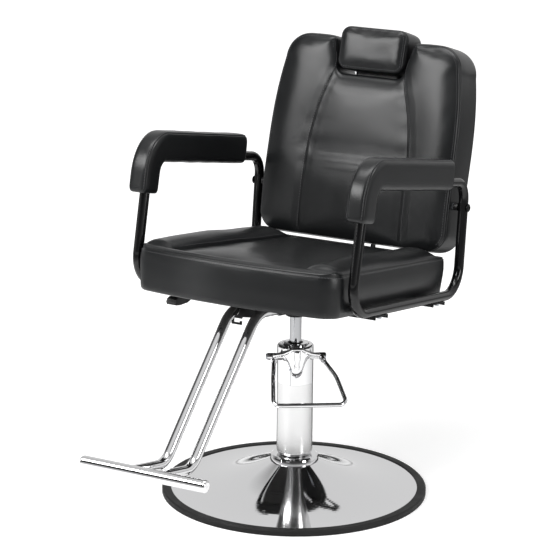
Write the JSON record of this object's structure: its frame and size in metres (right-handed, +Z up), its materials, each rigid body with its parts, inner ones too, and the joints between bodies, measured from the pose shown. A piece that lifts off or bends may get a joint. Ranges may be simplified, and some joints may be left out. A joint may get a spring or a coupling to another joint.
{
  "type": "hydraulic barber chair",
  "caption": "Salon chair on a round base: hydraulic lift with foot lever, swivel seat, tube arms with pads, footrest, reclining back with a height-adjustable headrest.",
  "frame": {"origin": "centre of the base ring's underside, on the floor", "axes": "+Z up along the pump, -Y the way the sitter faces, +X to the sitter's left"},
  "size_m": [0.5899, 1.0784, 0.9894],
  "materials": {
    "chrome": "polished chrome plate",
    "black_vinyl": "black vinyl over foam, semi-gloss with fine grain",
    "black_paint": "black satin powder coat",
    "black_gloss": "gloss black powder coat",
    "steel": "turned steel",
    "zinc": "zinc-plated fastener",
    "plywood": "plywood",
    "black_wood": "plywood stained black",
    "black_rubber": "matt black rubber",
    "black_plastic": "moulded black plastic",
    "bronze": "oiled bronze"
  },
  "bodies": {
    "base": {"base_plate": "chrome", "base_ring": "black_rubber", "base_disc": "steel", "pump_cylinder": "steel", "flange_bolts": "zinc", "flange_nuts": "zinc", "collar_ring": "chrome", "lower_sleeve": "chrome", "head_cover": "chrome", "cover_screw": "zinc", "pump_head": "chrome", "gland_cap": "chrome", "rod_wiper": "black_rubber", "lever_pins": "zinc"},
    "lever": {"rocker": "chrome", "pedal_loop": "chrome"},
    "plunger": {"pump_plunger": "chrome"},
    "piston": {"piston_rod": "chrome", "piston_head": "steel", "thrust_washer": "bronze"},
    "seat": {"hub_bracket": "black_paint", "hub_bolts": "zinc", "front_cross_member": "black_paint", "rear_cross_member": "black_paint", "seat_board": "black_wood", "seat_cushion": "black_vinyl", "arm_loop_left": "black_gloss", "arm_loop_right": "black_gloss", "arm_bolts": "zinc", "arm_pad_left": "black_vinyl", "arm_pad_right": "black_vinyl", "footrest_tubes": "chrome", "footrest_bar": "chrome", "footrest_caps": "chrome", "footrest_clamps": "black_paint", "clamp_bolts": "zinc", "footrest_hanger": "black_paint", "recline_bolts": "black_paint", "recline_spacers": "black_plastic", "handle_bracket": "black_paint", "release_cable": "black_rubber", "strut_anchor": "black_paint", "strut_head": "black_paint", "strut_rod": "chrome"},
    "handle": {"release_handle": "black_plastic"},
    "strut": {"strut_cylinder": "black_paint"},
    "back": {"back_cushion": "black_vinyl", "back_frame": "plywood", "back_panel": "black_vinyl", "back_inserts": "steel", "back_bracket": "black_paint", "post_sleeves": "black_plastic"},
    "headrest": {"headrest_posts": "chrome", "headrest_plate": "black_plastic", "headrest_pad": "black_vinyl"}
  },
  "joints": [
    {"name": "lift", "type": "slide", "parent": "base", "child": "piston", "axis": [0, 0, 1], "range_m": [-0.055, 0.075]},
    {"name": "swivel", "type": "hinge", "parent": "piston", "child": "seat", "pos_m": [0, 0, 0.405], "axis": [0, 0, 1], "continuous": true},
    {"name": "recline", "type": "hinge", "parent": "seat", "child": "back", "pos_m": [0, 0.28921, 0.62187], "axis": [-1, 0, 0], "range_deg": [0, 20]},
    {"name": "strut_slide", "type": "slide", "parent": "seat", "child": "strut", "axis": [0, -1, 0], "range_m": [0, 0.0768]},
    {"name": "headrest_slide", "type": "slide", "parent": "back", "child": "headrest", "axis": [0, 0.2672, 0.9636], "range_m": [0, 0.08]},
    {"name": "release", "type": "hinge", "parent": "seat", "child": "handle", "pos_m": [0, -0.09698, 0.44085], "axis": [-1, 0, 0], "range_deg": [0, 12], "stiffness_Nm_per_rad": 0.6, "springref_deg": -28.65},
    {"name": "pump_lever", "type": "hinge", "parent": "base", "child": "lever", "pos_m": [0.01118, -0.01658, 0.317], "axis": [0.829, 0.5592, 0], "range_deg": [0, 25], "stiffness_Nm_per_rad": 1.8, "springref_deg": -28.65},
    {"name": "plunger_slide", "type": "slide", "parent": "base", "child": "plunger", "axis": [0, 0, -1], "range_m": [0, 0.01445]}
  ],
  "couplings": [
    {"joint": "strut_slide", "follows": "recline", "m_per_rad": 0.2192},
    {"joint": "plunger_slide", "follows": "pump_lever", "m_per_rad": 0.0331}
  ]
}
